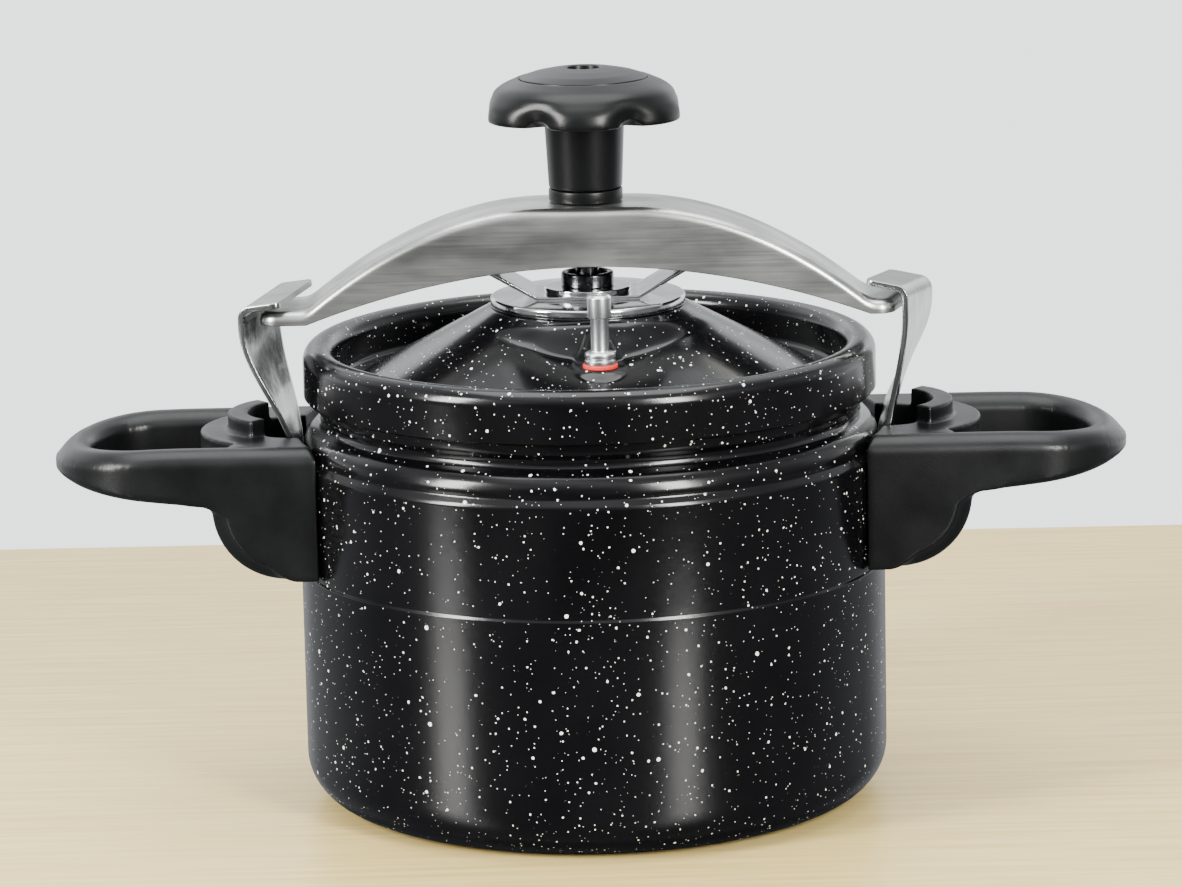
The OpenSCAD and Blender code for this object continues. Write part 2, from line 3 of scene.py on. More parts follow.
import bmesh
import bpy
import numpy as np
from mathutils import Matrix


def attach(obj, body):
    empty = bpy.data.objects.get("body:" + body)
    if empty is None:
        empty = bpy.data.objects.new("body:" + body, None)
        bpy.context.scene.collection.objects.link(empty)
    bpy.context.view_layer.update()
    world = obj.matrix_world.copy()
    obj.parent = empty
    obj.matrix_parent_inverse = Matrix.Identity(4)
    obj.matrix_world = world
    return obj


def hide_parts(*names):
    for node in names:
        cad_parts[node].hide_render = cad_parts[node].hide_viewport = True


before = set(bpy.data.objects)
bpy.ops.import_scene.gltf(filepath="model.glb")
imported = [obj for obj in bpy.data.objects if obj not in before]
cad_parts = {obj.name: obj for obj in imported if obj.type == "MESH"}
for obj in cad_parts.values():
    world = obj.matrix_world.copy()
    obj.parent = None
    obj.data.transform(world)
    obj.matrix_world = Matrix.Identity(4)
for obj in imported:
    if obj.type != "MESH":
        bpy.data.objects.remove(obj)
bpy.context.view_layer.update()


# ---- Camera and table ----
# The cooker stands a little forward of the back edge of a pale laminate table, and is
# looked at from slightly above with a long lens.

TILT_DOWN = 0.2089
ROLL = 0.0212
camera = bpy.data.objects.new("camera", bpy.data.cameras.new("camera"))
camera.data.lens = 157.36
camera.data.sensor_width = 36
camera.matrix_world = (
    Matrix.Translation((0, -1.9, 0.5352))
    @ Matrix.Rotation(math.pi / 2 - TILT_DOWN, 4, "X")
    @ Matrix.Rotation(-ROLL, 4, "Z")
)
bpy.context.scene.collection.objects.link(camera)
bpy.context.scene.camera = camera


def linear(code):
    """Linear colour of an sRGB hex code, by the sRGB transfer curve."""
    c = np.array([int(code[i:i + 2], 16) for i in (0, 2, 4)]) / 255
    c = np.where(c <= 0.04045, c / 12.92, ((c + 0.055) / 1.055) ** 2.4)
    return (*c.tolist(), 1.0)


def node(tree, kind, settings=(), **inputs):
    """Adds a node, sets its properties, and sets or links each named input."""
    made = tree.nodes.new(kind)
    for key, value in dict(settings).items():
        setattr(made, key, value)
    for key, value in inputs.items():
        index = int(key[1:]) if key[0] == "i" and key[1:].isdigit() else key.replace("_", " ")
        if isinstance(value, bpy.types.NodeSocket):
            tree.links.new(value, made.inputs[index])
        else:
            made.inputs[index].default_value = value
    return made


def finish(name, **constants):
    """A new material: its node tree and its shader, with the shader's constant values set."""
    material = bpy.data.materials.new(name)
    material.use_nodes = True
    shader = material.node_tree.nodes["Principled BSDF"]
    for key, value in constants.items():
        shader.inputs[key.replace("_", " ")].default_value = value
    return material, material.node_tree, shader


def ramp(tree, value, *stops):
    """A colour ramp through stops of (position, hex colour)."""
    made = node(tree, "ShaderNodeValToRGB", Fac=value)
    while len(made.color_ramp.elements) < len(stops):
        made.color_ramp.elements.new(0.5)
    for element, (place, code) in zip(made.color_ramp.elements, stops):
        element.position = place
        element.color = linear(code)
    return made.outputs["Color"]


def tinted(tree, shader, value, *stops):
    """Colours a finish by a ramp of the value."""
    tree.links.new(ramp(tree, value, *stops), shader.inputs["Base Color"])


def roughened(tree, shader, noise, low, high):
    """Lets a finish's roughness run from low to high over a noise's usual span, 0.3 to 0.7."""
    spread = node(tree, "ShaderNodeMapRange", Value=noise, From_Min=0.3, From_Max=0.7,
                  To_Min=low, To_Max=high)
    tree.links.new(spread.outputs[0], shader.inputs["Roughness"])


def object_place(tree, scale=(1, 1, 1)):
    """Object coordinates in millimetres, stretched by scale."""
    place = node(tree, "ShaderNodeTexCoord").outputs["Object"]
    return node(tree, "ShaderNodeMapping", Vector=place, Scale=[1000 * s for s in scale]).outputs[0]


# Pale laminate with a faint printed grain along the table: it reads as even, warm and
# slightly glossy, so lamps leave long soft streaks on it. In reflected rays its colour is
# swapped for a dark grey, a painted dark reflection, so that the enamel above it stays a deep black.
laminate, tree, shader = finish("printed_laminate", Roughness=0.3, Specular_IOR_Level=0.5)
grain = node(tree, "ShaderNodeTexNoise", Vector=object_place(tree, (0.012, 0.25, 1)), Scale=1.0, Detail=5.0)
tint = ramp(tree, grain.outputs["Fac"], (0.3, "C4AB68"), (0.55, "D2BA77"), (0.75, "DAC687"))
mirrored = node(tree, "ShaderNodeLightPath").outputs["Is Glossy Ray"]
# Painted reflection: glossy rays see the table as dark grey 3E4044 instead of its own colour.
painted_dark_reflection = node(tree, "ShaderNodeMix", {"data_type": "RGBA"}, i0=mirrored, i6=tint, i7=linear("3E4044"))
tree.links.new(painted_dark_reflection.outputs[2], shader.inputs["Base Color"])

TABLE_X, TABLE_FRONT, TABLE_BACK, TABLE_T = 1.5, -0.46, 0.417, 0.03
table = bpy.data.objects.new("table", bpy.data.meshes.new("table"))
low, high = (-TABLE_X, TABLE_FRONT, -TABLE_T), (TABLE_X, TABLE_BACK, 0.0)
corners = [(x, y, z) for z in (low[2], high[2]) for x, y in (
    (low[0], low[1]), (high[0], low[1]), (high[0], high[1]), (low[0], high[1]))]
sides = [(0, 1, 5, 4), (1, 2, 6, 5), (2, 3, 7, 6), (3, 0, 4, 7)]
table.data.from_pydata(corners, [], [(3, 2, 1, 0), (4, 5, 6, 7)] + sides)
table.data.materials.append(laminate)
bpy.context.scene.collection.objects.link(table)


# ---- Light ----
# Two windows, one to the left and one to the right of the viewer, a broad soft light
# overhead, and a white wall behind. The room on the viewer's side is dim.

world = bpy.data.worlds.new("room")
world.use_nodes = True
tree = world.node_tree
tree.nodes.clear()
ray = node(tree, "ShaderNodeTexCoord").outputs["Generated"]
way = node(tree, "ShaderNodeSeparateXYZ", Vector=ray)
WALL_SEEN, WALL_LIGHT, FRONT_LIGHT, SKY_LIGHT = 3.0, 2.2, 0.32, 1.9
forward = node(tree, "ShaderNodeMapRange", Value=way.outputs["Y"],
               From_Min=0.05, From_Max=0.6, To_Min=FRONT_LIGHT, To_Max=WALL_LIGHT)
upward = node(tree, "ShaderNodeMapRange", Value=way.outputs["Z"],
              From_Min=0.15, From_Max=0.9, To_Min=0.0, To_Max=SKY_LIGHT)
glow = node(tree, "ShaderNodeMath", {"operation": "MAXIMUM"}, i0=forward.outputs[0], i1=upward.outputs[0])
patch = node(tree, "ShaderNodeTexNoise", Vector=ray, Scale=2.2, Detail=1.0)
patchy = node(tree, "ShaderNodeMapRange", Value=patch.outputs["Fac"],
              From_Min=0.35, From_Max=0.65, To_Min=0.45, To_Max=1.35)
lit = node(tree, "ShaderNodeMath", {"operation": "MULTIPLY"}, i0=glow.outputs[0], i1=patchy.outputs[0])
room = node(tree, "ShaderNodeBackground", Color=linear("EEF0F2"), Strength=lit.outputs[0])
wall = node(tree, "ShaderNodeBackground", Color=linear("E3E6E8"), Strength=WALL_SEEN)
seen = node(tree, "ShaderNodeLightPath").outputs["Is Camera Ray"]
mix = node(tree, "ShaderNodeMixShader", i0=seen, i1=room.outputs[0], i2=wall.outputs[0])
node(tree, "ShaderNodeOutputWorld", Surface=mix.outputs[0])
bpy.context.scene.world = world

# Each light: name, angle from the viewer's side (right is positive), distance, height of
# its middle, width, height, and power in watts.
for name, angle, away, middle, wide, tall, power in (
    ("window_left", -57, 1.5, 0.72, 0.34, 0.86, 62),
    ("window_right", 33, 1.5, 0.72, 0.30, 0.86, 52),
):
    lamp = bpy.data.objects.new(name, bpy.data.lights.new(name, "AREA"))
    lamp.data.shape = "RECTANGLE"
    lamp.data.size, lamp.data.size_y, lamp.data.energy = wide, tall, power
    lamp.data.color = (1.0, 0.985, 0.96)
    turn = math.radians(angle)
    lamp.location = (away * math.sin(turn), -away * math.cos(turn), middle)
    lamp.rotation_euler = (math.pi / 2 - math.atan2(middle - 0.1, away), 0, turn)
    lamp.visible_camera = False
    bpy.context.scene.collection.objects.link(lamp)

ceiling = bpy.data.objects.new("ceiling_light", bpy.data.lights.new("ceiling_light", "AREA"))
ceiling.data.shape = "RECTANGLE"
ceiling.data.size, ceiling.data.size_y, ceiling.data.energy = 1.6, 1.2, 34
ceiling.location = (0, 0.1, 1.9)
ceiling.visible_camera = False
bpy.context.scene.collection.objects.link(ceiling)


# ---- Pot ----
# A pressed aluminium pot under glossy black enamel with white speckles: straight wall
# with a faint step, rounded shoulder, drawn-in neck and an upright mouth under the lid.

PI = math.pi


def arc(centre, radius, start, end, count):
    """Points of an arc about centre, from one angle to another in radians."""
    a = np.linspace(start, end, count)
    return np.array(centre) + radius * np.stack([np.cos(a), np.sin(a)], 1)


def rounded(corners, count=9):
    """A line through corners (a, b, radius), with each corner replaced by an arc that
    touches both of its sides."""
    p = np.array(corners, float)
    parts = [p[:1, :2]]
    for before, at, after in zip(p, p[1:], p[2:]):
        u, v = before[:2] - at[:2], after[:2] - at[:2]
        u, v = u / np.linalg.norm(u), v / np.linalg.norm(v)
        half = math.acos(max(-1, min(1, u @ v))) / 2
        if at[2] <= 0 or half > 1.56:
            parts.append(at[None, :2])
            continue
        middle = (u + v) / np.linalg.norm(u + v)
        centre = at[:2] + middle * at[2] / math.sin(half)
        first = at[:2] + u * at[2] / math.tan(half) - centre
        last = at[:2] + v * at[2] / math.tan(half) - centre
        a = math.atan2(first[1], first[0])
        turn = (math.atan2(last[1], last[0]) - a + PI) % (2 * PI) - PI
        parts.append(arc(centre, at[2], a, a + turn, count))
    parts.append(p[-1:, :2])
    return np.concatenate(parts)


def beside(line, gap):
    """The line moved by gap to its left, along normals taken from its neighbours."""
    d = np.gradient(line, axis=0)
    d /= np.maximum(np.linalg.norm(d, axis=1, keepdims=True), 1e-9)
    return line + gap * np.stack([-d[:, 1], d[:, 0]], 1)


def skin(name, grid, body, material, stands_for=(), ring=False, sharp=35):
    """A closed mesh over a grid of points in mm. Square (i, j) joins points (i, j) to
    (i+1, j+1); the second direction closes on itself, and the first too if ring is set.
    Rows drawn to a point or folded flat are merged, and faces are turned outwards."""
    rows, columns = grid.shape[:2]
    i = np.arange(rows if ring else rows - 1)[:, None]
    j = np.arange(columns)[None, :]
    below, above, right = i * columns, (i + 1) % rows * columns, (j + 1) % columns
    faces = np.stack([below + j, below + right, above + right, above + j], -1).reshape(-1, 4)
    mesh = bpy.data.meshes.new(name)
    mesh.from_pydata((grid.reshape(-1, 3) / 1000).tolist(), [], faces.tolist())
    shape = bmesh.new()
    shape.from_mesh(mesh)
    bmesh.ops.remove_doubles(shape, verts=shape.verts, dist=2e-6)
    bmesh.ops.recalc_face_normals(shape, faces=shape.faces)
    shape.to_mesh(mesh)
    shape.free()
    return hung(name, mesh, body, material, stands_for, sharp)


def hung(name, mesh, body, material, stands_for=(), sharp=35):
    """Puts a finished mesh into the scene on its body, in place of its CAD nodes."""
    mesh.polygons.foreach_set("use_smooth", np.ones(len(mesh.polygons), bool))
    mesh.set_sharp_from_angle(angle=math.radians(sharp))
    mesh.materials.clear()
    mesh.materials.append(material)
    piece = bpy.data.objects.new(name, mesh)
    bpy.context.scene.collection.objects.link(piece)
    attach(piece, body)
    if stands_for:
        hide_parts(*stands_for)
    return piece


def turned(name, line, body, material, stands_for=(), axis=(0, 0), sides=240, closed=True, sharp=35):
    """A closed line of (radius, height) turned about an upright axis. Where it isn't
    closed, its ends lie on the axis."""
    a = np.arange(sides) * 2 * PI / sides
    r, z = line[:, :1], line[:, 1:]
    grid = np.stack([axis[0] + r * np.cos(a), axis[1] + r * np.sin(a), z + 0 * a], -1)
    return skin(name, grid, body, material, stands_for, ring=closed, sharp=sharp)


def speckle(tree, place, size, radius, keep):
    """White dots: in cells of a size in mm, the ball within radius of the cell's point,
    each with its own share of that radius, and only the share keep of the cells."""
    cells = node(tree, "ShaderNodeTexVoronoi", Vector=place, Scale=1 / size)
    pick = node(tree, "ShaderNodeSeparateColor", Color=cells.outputs["Color"])
    reach = node(tree, "ShaderNodeMapRange", Value=pick.outputs["Red"], From_Min=0.0, From_Max=1.0,
                 To_Min=0.45 * radius / size, To_Max=radius / size)
    kept = node(tree, "ShaderNodeMath", {"operation": "LESS_THAN"}, i0=pick.outputs["Green"], i1=keep)
    room = node(tree, "ShaderNodeMath", {"operation": "MULTIPLY"}, i0=reach.outputs[0], i1=kept.outputs[0])
    depth = node(tree, "ShaderNodeMath", {"operation": "SUBTRACT"},
                 i0=room.outputs[0], i1=cells.outputs["Distance"])
    edge = node(tree, "ShaderNodeMapRange", Value=depth.outputs[0], From_Min=0.0, From_Max=0.1 / size)
    return edge.outputs[0]


# Fired glass enamel with spattered white: glossy, nearly black, faintly wavy like orange
# peel, its dots 0.4 to 2 mm across, uneven in outline and thicker in some places.
speckled_enamel, tree, shader = finish("speckled_enamel", Roughness=0.18, IOR=1.5, Specular_IOR_Level=0.36)
place = object_place(tree)
wander = node(tree, "ShaderNodeTexNoise", Vector=place, Scale=0.9, Detail=2.0)
shift = node(tree, "ShaderNodeVectorMath", {"operation": "SCALE"}, i0=wander.outputs["Color"], Scale=0.55)
shaken = node(tree, "ShaderNodeVectorMath", {"operation": "ADD"}, i0=place, i1=shift.outputs[0]).outputs[0]
layers = [speckle(tree, shaken, *spec) for spec in (
    (8.5, 0.95, 0.5), (4.8, 0.62, 0.6), (3.0, 0.42, 0.75), (2.0, 0.28, 0.75))]
white = layers[0]
for layer in layers[1:]:
    white = node(tree, "ShaderNodeMath", {"operation": "MAXIMUM"}, i0=white, i1=layer).outputs[0]
ground = node(tree, "ShaderNodeTexNoise", Vector=place, Scale=0.03, Detail=3.0)
black = ramp(tree, ground.outputs["Fac"], (0.35, "020203"), (0.7, "060608"))
enamel_colour = node(tree, "ShaderNodeMix", {"data_type": "RGBA"}, i0=white, i6=black, i7=linear("E9ECEC"))
tree.links.new(enamel_colour.outputs[2], shader.inputs["Base Color"])
peel = node(tree, "ShaderNodeTexNoise", Vector=place, Scale=0.12, Detail=2.0)
raised = node(tree, "ShaderNodeMath", {"operation": "MULTIPLY_ADD"},
              i0=white, i1=0.12, i2=peel.outputs["Fac"])
bump = node(tree, "ShaderNodeBump", Height=raised.outputs[0], Strength=0.12, Distance=0.0004)
tree.links.new(bump.outputs[0], shader.inputs["Normal"])

POT_R, WALL_H, WALL_T = 109.95, 132, 2.4
STEP_Z, STEP_IN = 90, 0.5
MOUTH_R, LIP_Z = 102.6, 161.2
UPPER_R = POT_R - STEP_IN
pot_line = rounded([
    (0, 0, 0), (POT_R, 0, 18), (POT_R, STEP_Z, 0.6), (UPPER_R, STEP_Z + 1, 0.6),
    (UPPER_R, WALL_H - 0.2, 3.4), (UPPER_R - 1.8, WALL_H + 2.6, 1.5), (UPPER_R - 1.5, WALL_H + 8.4, 8.5),
    (99.6, WALL_H + 13.6, 3.2), (MOUTH_R, WALL_H + 18.2, 3), (MOUTH_R, LIP_Z - 0.8, 0),
    (MOUTH_R - 0.5, LIP_Z, 0)], 13)
pot_inside = beside(pot_line[:-1], WALL_T)
pot_inside[-1] = (MOUTH_R - WALL_T, LIP_Z - 0.8)
lip_inside = np.array([[MOUTH_R - WALL_T + 0.5, LIP_Z]])
turned("pot_shell_enamel", np.concatenate([pot_line, lip_inside, pot_inside[::-1]]),
       "pot", speckled_enamel, ["pot_shell"], closed=False, sides=300)


# ---- Hooks ----
# Two straps of polished stainless sheet, riveted to the pot, that lean out, twist and
# bend in to a lip over the bridge's ends. Their sheared edges are left bright.

# Rolled stainless after a buffing wheel: soft bright reflections with faint lengthwise
# drag lines and small wavy dents.
buffed_stainless, tree, shader = finish("buffed_stainless", Metallic=1.0, Roughness=0.17)
place = object_place(tree)
waves = node(tree, "ShaderNodeTexNoise", Vector=place, Scale=0.06, Detail=2.0)
drag = node(tree, "ShaderNodeTexNoise", Vector=object_place(tree, (1, 1, 0.05)), Scale=1.6, Detail=4.0)
steel_tint = ramp(tree, waves.outputs["Fac"], (0.3, "949594"), (0.7, "B0B1AF"))
tree.links.new(steel_tint, shader.inputs["Base Color"])
roughened(tree, shader, drag.outputs["Fac"], 0.13, 0.24)
rough = node(tree, "ShaderNodeBump", Height=waves.outputs["Fac"], Strength=0.35, Distance=0.0012)
fine = node(tree, "ShaderNodeBump", Height=drag.outputs["Fac"], Strength=0.06, Distance=0.0002,
            Normal=rough.outputs[0])
tree.links.new(fine.outputs[0], shader.inputs["Normal"])


def eased(u):
    """0 below 0, 1 above 1, and 3u^2 - 2u^3 between."""
    u = np.clip(u, 0, 1)
    return u * u * (3 - 2 * u)


def strip_section(width, thick, edge, across=15):
    """Outline of a flat strip's section: (offset across, share of thickness), with its
    four edges rounded."""
    w, t = width / 2, thick / 2
    flat = np.linspace(-(w - edge), w - edge, across)
    side = edge * np.sin(np.linspace(0, PI / 2, 4))
    lift = t - edge + edge * np.cos(np.linspace(0, PI / 2, 4))
    top = np.stack([np.concatenate([-(w - edge) - side[::-1], flat[1:-1], w - edge + side]),
                    np.concatenate([lift[::-1], 0 * flat[1:-1] + t, lift])], 1)
    bottom = top[::-1] * [1, -1]
    return np.concatenate([top, bottom])


STRAP_W, STRAP_T, STRAP_X, STRAP_LEAN = 38, 2.2, 111.5, 11.6
HOOK_X = STRAP_X + STRAP_LEAN
FOOT_Z, LEAN_Z, BEND_Z, BEND_R = 104, 130, 187.1, 4
LIP_L, LIP_SLOPE, LIP_TILT, TWIST = 12, 9, 4, 18


def strap_grid():
    """The strap's section carried up its middle line: straight foot, S-shaped lean, bend
    and lip. Across the strap its points follow the pot's curve at the foot, and above it
    the section is turned about the upright and tilted sideways, both eased with height."""
    rise = np.linspace(0, 1, 60)
    bend = np.radians(np.linspace(0, 90 - LIP_SLOPE, 16))[1:]
    end = np.radians(90 - LIP_SLOPE)
    along = np.append(np.linspace(0, LIP_L - 3, 7)[1:], LIP_L - 3 + 3 * np.sin(np.linspace(0.2, PI / 2, 8)))
    reach = np.concatenate([
        [STRAP_X] * 8, STRAP_X + STRAP_LEAN * eased(rise * 1.08),
        HOOK_X - BEND_R + BEND_R * np.cos(bend),
        HOOK_X - BEND_R + BEND_R * math.cos(end) - along * math.cos(math.radians(LIP_SLOPE))])
    height = np.concatenate([
        np.linspace(FOOT_Z, LEAN_Z, 9)[:-1], LEAN_Z + (BEND_Z - LEAN_Z) * rise,
        BEND_Z + BEND_R * np.sin(bend),
        BEND_Z + BEND_R * math.sin(end) + along * math.sin(math.radians(LIP_SLOPE))])
    heading = np.concatenate([[PI / 2] * 68, PI / 2 + bend, [PI - math.radians(LIP_SLOPE)] * len(along)])
    cut = np.ones(len(reach))
    last = along > LIP_L - 3
    corner = 3 - np.sqrt(np.maximum(0, 9 - (along[last] - LIP_L + 3) ** 2))
    cut[-last.sum():] = 1 - corner / (STRAP_W / 2)
    section = strip_section(STRAP_W, STRAP_T, 0.35, 23)
    ends = np.array([0.0] + [1.0] * len(reach) + [0.0])
    reach, height, heading, cut = (np.concatenate([v[:1], v, v[-1:]]) for v in (reach, height, heading, cut))
    w = section[None, :, 0] * cut[:, None]
    t = section[None, :, 1] * ends[:, None]
    s, z, h = reach[:, None], height[:, None], heading[:, None]
    up = eased((z - LEAN_Z) / (BEND_Z - LEAN_Z))
    tilt = np.radians(LIP_TILT) * eased((z - LEAN_Z - 20) / (BEND_Z - LEAN_Z - 20))
    twist = np.radians(TWIST) * up
    out = s - (1 - up) * (STRAP_X - np.sqrt(STRAP_X ** 2 - w ** 2)) + t * np.sin(h) - HOOK_X
    side = w * np.cos(tilt)
    return np.stack([
        HOOK_X + out * np.cos(twist) + side * np.sin(twist),
        side * np.cos(twist) - out * np.sin(twist),
        z - t * np.cos(h) - w * np.sin(tilt)], -1)


BACK_TO_FRONT = np.array([-1, -1, 1])
strap = strap_grid()
for name, grid in (("hook_right", strap), ("hook_left", strap * BACK_TO_FRONT)):
    skin(name + "_strap", grid, "pot", buffed_stainless, [name], sharp=50)


# ---- Fasteners ----
# Headed aluminium rivets, zinc-plated nuts, washers and slotted screws. They keep the
# CAD's shapes and take a plated or a plain metal finish.

# Zinc plate: pale grey, soft shine with a slightly mottled tone.
zinc_plate, tree, shader = finish("zinc_plate", Metallic=1.0, Roughness=0.34)
mottle = node(tree, "ShaderNodeTexNoise", Vector=object_place(tree), Scale=0.5, Detail=3.0)
tinted(tree, shader, mottle.outputs["Fac"], (0.3, "A3A5A6"), (0.7, "BCBEC0"))
coarse = node(tree, "ShaderNodeMapRange", Value=mottle.outputs["Fac"], To_Min=0.26, To_Max=0.42)
tree.links.new(coarse.outputs[0], shader.inputs["Roughness"])

# Turned aluminium: near white, with fine rings left by the lathe tool, drawn 0.4 mm apart
# so that they show.
turned_aluminium, tree, shader = finish("turned_aluminium", Metallic=1.0, Roughness=0.3)
rings = node(tree, "ShaderNodeTexWave", {"bands_direction": "Z"}, Vector=object_place(tree),
             Scale=0.8, Distortion=0.4, Detail=1.0)
tinted(tree, shader, rings.outputs["Fac"], (0.0, "CBCDCF"), (1.0, "E2E4E6"))
tool = node(tree, "ShaderNodeBump", Height=rings.outputs["Fac"], Strength=0.08, Distance=0.0001)
tree.links.new(tool.outputs[0], shader.inputs["Normal"])

# Pressed brass: warm yellow, dulled.
pressed_brass, tree, shader = finish("pressed_brass", Metallic=1.0, Roughness=0.3)
dull = node(tree, "ShaderNodeTexNoise", Vector=object_place(tree), Scale=0.4, Detail=3.0)
tinted(tree, shader, dull.outputs["Fac"], (0.3, "A98A4B"), (0.7, "C7AA66"))

for material, names in (
    (zinc_plate, ["strap_nuts", "handle_washers", "handle_screws", "lid_boss", "boss_locknut", "vent_nut",
                  "safety_nut", "safety_plunger", "safety_spring", "bridge_bush", "bush_nut"]),
    (turned_aluminium, ["hook_rivets", "safety_body"]),
    (pressed_brass, ["knob_insert"]),
):
    for name in names:
        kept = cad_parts[name]
        kept.data.materials.clear()
        kept.data.materials.append(material)


# ---- Handles ----
# Loop handles moulded in black thermoset. Each has crowned rails with a round end, a
# tongue and a C-shaped collar round the strap, and a bracket screwed against the wall.

# Moulded thermoset with a spark-eroded grain: dark grey where light grazes it, a satin
# sheen on the crowns, the grain about 0.5 mm across.
black_thermoset, tree, shader = finish("moulded_thermoset", Roughness=0.34, Specular_IOR_Level=0.3)
place = object_place(tree)
cloud = node(tree, "ShaderNodeTexNoise", Vector=place, Scale=0.05, Detail=4.0)
tinted(tree, shader, cloud.outputs["Fac"], (0.3, "060708"), (0.7, "0B0D0E"))
roughened(tree, shader, cloud.outputs["Fac"], 0.3, 0.4)
pits = node(tree, "ShaderNodeTexNoise", Vector=place, Scale=1.8, Detail=2.0)
grained = node(tree, "ShaderNodeBump", Height=pits.outputs["Fac"], Strength=0.22, Distance=0.0002)
tree.links.new(grained.outputs[0], shader.inputs["Normal"])


def moulded_mesh(name, voxel, passes):
    """A CAD node's solid as an even mesh of squares of voxel mm, with its edges eased by
    a number of smoothing passes. Returns the mesh and its points in mm."""
    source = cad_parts[name]
    shape = bmesh.new()
    shape.from_mesh(source.data)
    bmesh.ops.remove_doubles(shape, verts=shape.verts, dist=1e-6)
    copy = bpy.data.meshes.new(name + "_copy")
    shape.to_mesh(copy)
    shape.free()
    holder = bpy.data.objects.new(name + "_copy", copy)
    bpy.context.scene.collection.objects.link(holder)
    even = holder.modifiers.new("even", "REMESH")
    even.mode, even.voxel_size = "VOXEL", voxel / 1000
    ease = holder.modifiers.new("ease", "SMOOTH")
    ease.factor, ease.iterations = 0.5, passes
    graph = bpy.context.evaluated_depsgraph_get()
    mesh = bpy.data.meshes.new_from_object(holder.evaluated_get(graph))
    bpy.data.objects.remove(holder)
    points = np.empty(3 * len(mesh.vertices))
    mesh.vertices.foreach_get("co", points)
    return mesh, points.reshape(-1, 3) * 1000


def with_points(mesh, points, flip=False):
    """Puts points in mm back into a mesh; flip turns the piece half way round."""
    mesh.vertices.foreach_set("co", (points * (BACK_TO_FRONT if flip else 1) / 1000).ravel())
    mesh.update()
    return mesh


HANDLE_W, RAIL_W, HANDLE_TOP = 88, 14, 141.5
BEND_X, TIP_X = 165, 201
CROWN = 4.5
BRACKET_X, BRACKET_Z, BRACKET_R = 113.5, 118.5, 27


def crowned(points):
    """Shapes a moulded handle. The arm's straight top and underside are bent into
    quarter-ellipses that meet at the tip. Across a rail, from 0 at its inner to 1 at its
    outer edge, the top falls by the crown times the square of the distance from the
    middle, on the inner half only round the opening, and the underside rises a little at
    both edges. The bracket's corner is drawn in near its cheeks, so that it turns into them."""
    x, y, z = points.T
    half = HANDLE_W / 2
    out = np.clip((x - 150) / 52, 0, 1)
    round_off = 1 - np.sqrt(1 - out ** 2)
    was_top = np.interp(x, (TIP_X - 40, TIP_X - 10, TIP_X), (HANDLE_TOP, HANDLE_TOP - 1, HANDLE_TOP - 5))
    was_low = np.interp(x, (TIP_X - 55, TIP_X - 25, TIP_X),
                        (HANDLE_TOP - 20.8, HANDLE_TOP - 17, HANDLE_TOP - 13.5))
    new_top = HANDLE_TOP - 6 * round_off
    new_low = HANDLE_TOP - 21.3 + 0.105 * np.maximum(x - 146, 0) + 3 * round_off
    share = (z - was_low) / (was_top - was_low)
    bent = new_low + (new_top - new_low) * share
    z = z + (bent - z) * eased((x - 144) / 6)
    far = np.maximum(x - BEND_X, 0)
    outer = np.hypot(far / (TIP_X - BEND_X), y / half)
    inner = np.hypot(far / (TIP_X - BEND_X - RAIL_W), y / (half - RAIL_W))
    room_in, room_out = np.maximum(inner - 1, 0) * (half - RAIL_W), np.maximum(1 - outer, 0) * half
    t = room_in / np.maximum(room_in + room_out, 1e-6)
    open_side = eased((np.hypot(x - 110, y) - 37.5) / 5)
    fall = (2 * t - 1) ** 2 * np.where(t > 0.5, 1, open_side)
    z = z - CROWN * fall * eased((z - (new_top - 13)) / 12)
    lift = (2 * t - 1) ** 4 * eased((x - 146) / 8) * eased((new_low + 7 - z) / 7)
    z = z + 2.2 * lift
    reach = np.hypot(x - BRACKET_X, z - BRACKET_Z)
    cheek = eased((np.abs(y) - half + 7) / 7) * eased((BRACKET_Z + 4 - z) / 8) * eased((x - 109) / 14)
    draw = 1 - cheek * 5.2 / BRACKET_R * eased((reach - 8) / 18)
    x = np.where(x > BRACKET_X, BRACKET_X + (x - BRACKET_X) * draw, x)
    z = np.where(z < BRACKET_Z, BRACKET_Z + (z - BRACKET_Z) * draw, z)
    return np.stack([x, y, z], 1)


handle_mesh, handle_points = moulded_mesh("handle_right", 0.75, 9)
handle_points = crowned(handle_points)
other_mesh = handle_mesh.copy()
hung("handle_right_moulding", with_points(handle_mesh, handle_points), "pot",
     black_thermoset, ["handle_right"], sharp=60)
hung("handle_left_moulding", with_points(other_mesh, handle_points, True), "pot",
     black_thermoset, ["handle_left"], sharp=60)


# ---- Lid ----
# A deep-drawn aluminium lid in the same enamel: flat seat, cone, trough and a rolled rim
# whose skirt hangs outside the pot's mouth. A smooth hollow is pressed round each valve.

ROLL_R, CHANNEL_R, SKIRT_Z, RIM_TOP = 5.8, 101.4, 154.0, 173.4
TROUGH_Z, TROUGH_R, LID_FLAT_R, LID_T = 157.3, 90.8, 37, 2.2
RIM_IN, RIM_OUT = CHANNEL_R - ROLL_R, CHANNEL_R + ROLL_R
CONE = math.tan(math.radians(28))
LID_TOP = TROUGH_Z + CONE * (TROUGH_R - LID_FLAT_R)
VALVE_X, VALVE_R, HOLE_R = 4, 52, 4.2
HOLLOW_DEEP, FLOOR_SLOPE, FLOOR_CURVE, FLOOR_SOFT = 6.3, 0.3, 0.006, 10
FLOOR_START, FLOOR_RUN, FLOOR_CLIMB = 48, 12, 14
POCKET_Z = LID_TOP - CONE * (VALVE_R - LID_FLAT_R) - HOLLOW_DEEP
BOSS_HOLE_R = 7.7

